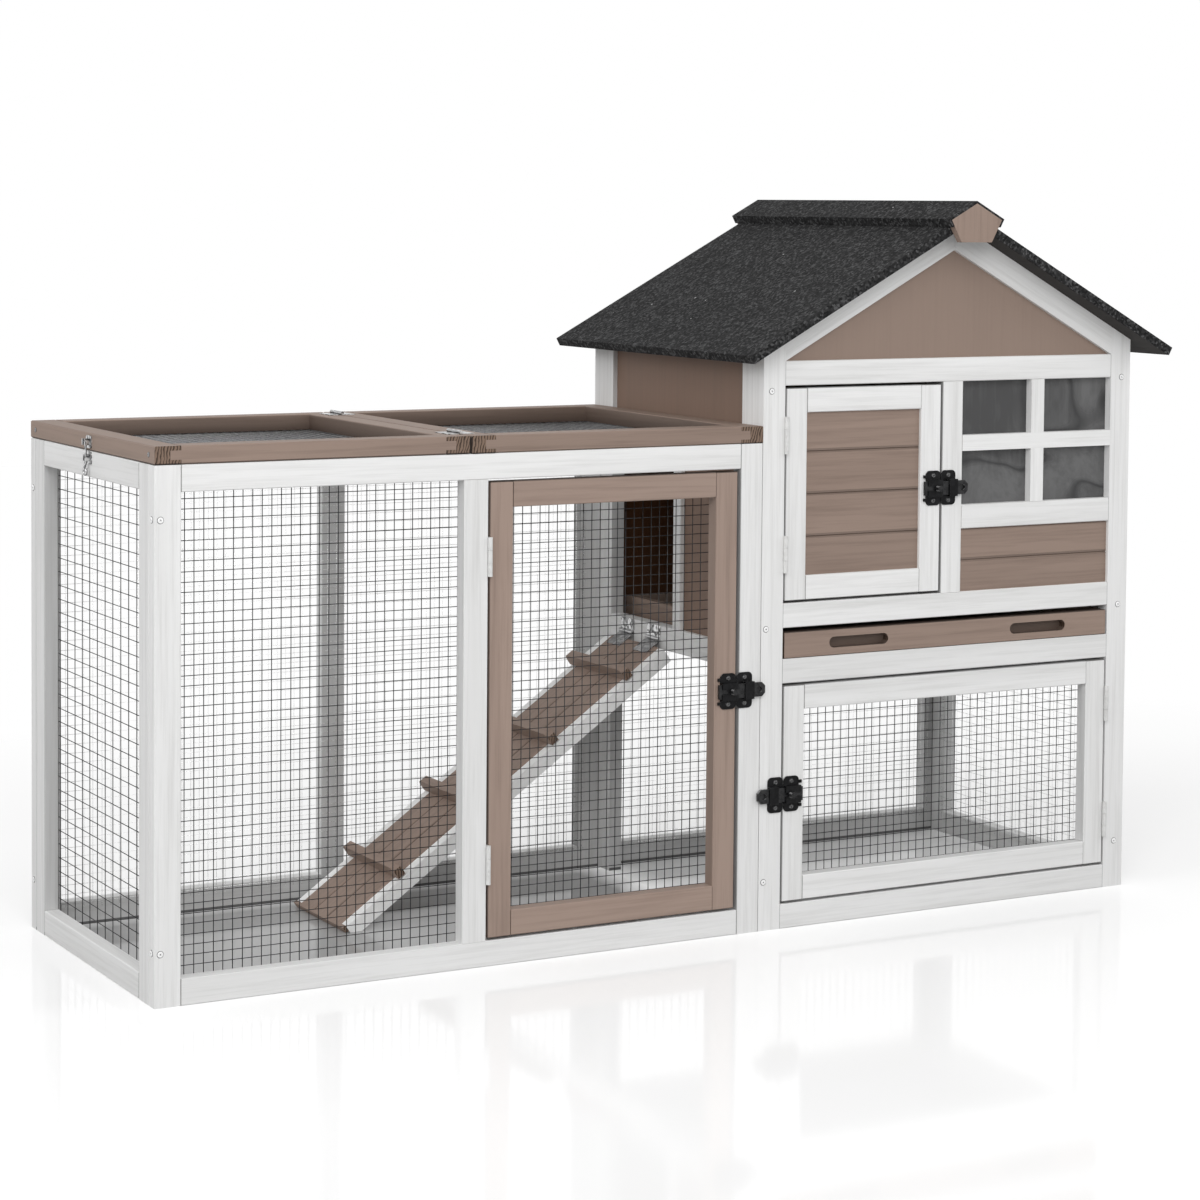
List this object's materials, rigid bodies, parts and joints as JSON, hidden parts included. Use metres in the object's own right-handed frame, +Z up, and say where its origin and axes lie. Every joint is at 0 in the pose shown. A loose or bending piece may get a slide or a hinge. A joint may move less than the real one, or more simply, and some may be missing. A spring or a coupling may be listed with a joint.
{
  "type": "rabbit hutch",
  "caption": "Wooden rabbit hutch: a wire-mesh run with hinged lid and door, joined to a gabled two-storey house with mesh and boarded doors, pull-out tray and ramp",
  "frame": {"origin": "middle of the footprint, on the ground", "axes": "+X along the hutch from the run to the house, +Y from front to back, +Z up"},
  "size_m": [1.5246, 0.566, 0.9829],
  "materials": {
    "white_wood": "white-washed softwood, faint grain",
    "brown_wood": "taupe-stained softwood, matt",
    "roof_felt": "mineral roofing felt, speckled black",
    "wire_mesh": "galvanised welded wire",
    "black_metal": "black, satin",
    "white_metal": "painted white with the frame",
    "zinc": "bright zinc",
    "window": "clear acrylic sheet",
    "tray_plastic": "dark grey sheet"
  },
  "bodies": {
    "frame": {"bolt_keepers": "black_metal", "door_hinge_leaves": "white_metal", "fixed_lid_mesh": "wire_mesh", "fixed_lid_rails": "brown_wood", "fixed_lid_sides": "brown_wood", "gable_panels": "brown_wood", "house_rails": "white_wood", "house_side_rails": "white_wood", "house_side_stiles": "white_wood", "house_stiles": "white_wood", "rake_boards": "white_wood", "ridge_blocks": "brown_wood", "roof_boards": "brown_wood", "roof_felt": "roof_felt", "run_end_rails": "white_wood", "run_end_stiles": "white_wood", "run_front_mesh": "wire_mesh", "run_rails": "white_wood", "run_stiles": "white_wood", "screws": "zinc", "tray_runners": "white_wood", "wall_mesh": "wire_mesh", "wall_panels": "brown_wood", "window_boards": "brown_wood", "window_crossbar": "white_wood", "window_mullion": "white_wood", "window_pane": "window", "zinc_fittings": "zinc"},
    "lid": {"lid_sides": "brown_wood", "lid_rails": "brown_wood", "lid_mesh": "wire_mesh", "lid_fittings": "zinc"},
    "hook": {"hook": "zinc"},
    "run_door": {"run_door_stiles": "brown_wood", "run_door_rails": "brown_wood", "run_door_mesh": "wire_mesh", "run_door_leaves": "white_metal", "run_bolt_base": "black_metal"},
    "run_bolt": {"run_bolt": "black_metal"},
    "upper_door": {"upper_door_stiles": "white_wood", "upper_door_rails": "white_wood", "upper_door_boards": "brown_wood", "upper_door_leaves": "white_metal", "upper_bolt_base": "black_metal"},
    "upper_bolt": {"upper_bolt": "black_metal"},
    "lower_door": {"lower_door_stiles": "white_wood", "lower_door_rails": "white_wood", "lower_door_mesh": "wire_mesh", "lower_door_leaves": "white_metal", "lower_bolt_base": "black_metal"},
    "lower_bolt": {"lower_bolt": "black_metal"},
    "tray": {"tray_front": "brown_wood", "tray_sides": "brown_wood", "tray_back": "brown_wood", "tray_floor": "tray_plastic"},
    "ramp": {"ramp_boards": "brown_wood", "ramp_battens": "white_wood", "ramp_cleats": "brown_wood", "ramp_hinge_leaves": "zinc"}
  },
  "joints": [
    {"name": "run_door_hinge", "type": "hinge", "parent": "frame", "child": "run_door", "pos_m": [-0.30583, -0.2365, 0.329], "axis": [0, 0, -1], "range_deg": [0, 110]},
    {"name": "upper_door_hinge", "type": "hinge", "parent": "frame", "child": "upper_door", "pos_m": [0.13717, -0.2365, 0.5875], "axis": [0, 0, -1], "range_deg": [0, 110]},
    {"name": "lower_door_hinge", "type": "hinge", "parent": "frame", "child": "lower_door", "pos_m": [0.68267, -0.2365, 0.183], "axis": [0, 0, 1], "range_deg": [0, 110]},
    {"name": "lid_hinge", "type": "hinge", "parent": "frame", "child": "lid", "pos_m": [-0.33208, 0, 0.6838], "axis": [0, 1, 0], "range_deg": [0, 105]},
    {"name": "hook_swing", "type": "hinge", "parent": "lid", "child": "hook", "pos_m": [-0.75908, 0, 0.66975], "axis": [0, 1, 0], "range_deg": [0, 100]},
    {"name": "tray_slide", "type": "slide", "parent": "frame", "child": "tray", "axis": [0, -1, 0], "range_m": [0, 0.36]},
    {"name": "ramp_hinge", "type": "hinge", "parent": "frame", "child": "ramp", "pos_m": [0.09912, 0.091, 0.3602], "axis": [0, 1, 0], "range_deg": [0, 55]},
    {"name": "run_bolt_slide", "type": "slide", "parent": "run_door", "child": "run_bolt", "axis": [-1, 0, 0], "range_m": [0, 0.045]},
    {"name": "upper_bolt_slide", "type": "slide", "parent": "upper_door", "child": "upper_bolt", "axis": [-1, 0, 0], "range_m": [0, 0.045]},
    {"name": "lower_bolt_slide", "type": "slide", "parent": "lower_door", "child": "lower_bolt", "axis": [1, 0, 0], "range_m": [0, 0.045]}
  ]
}
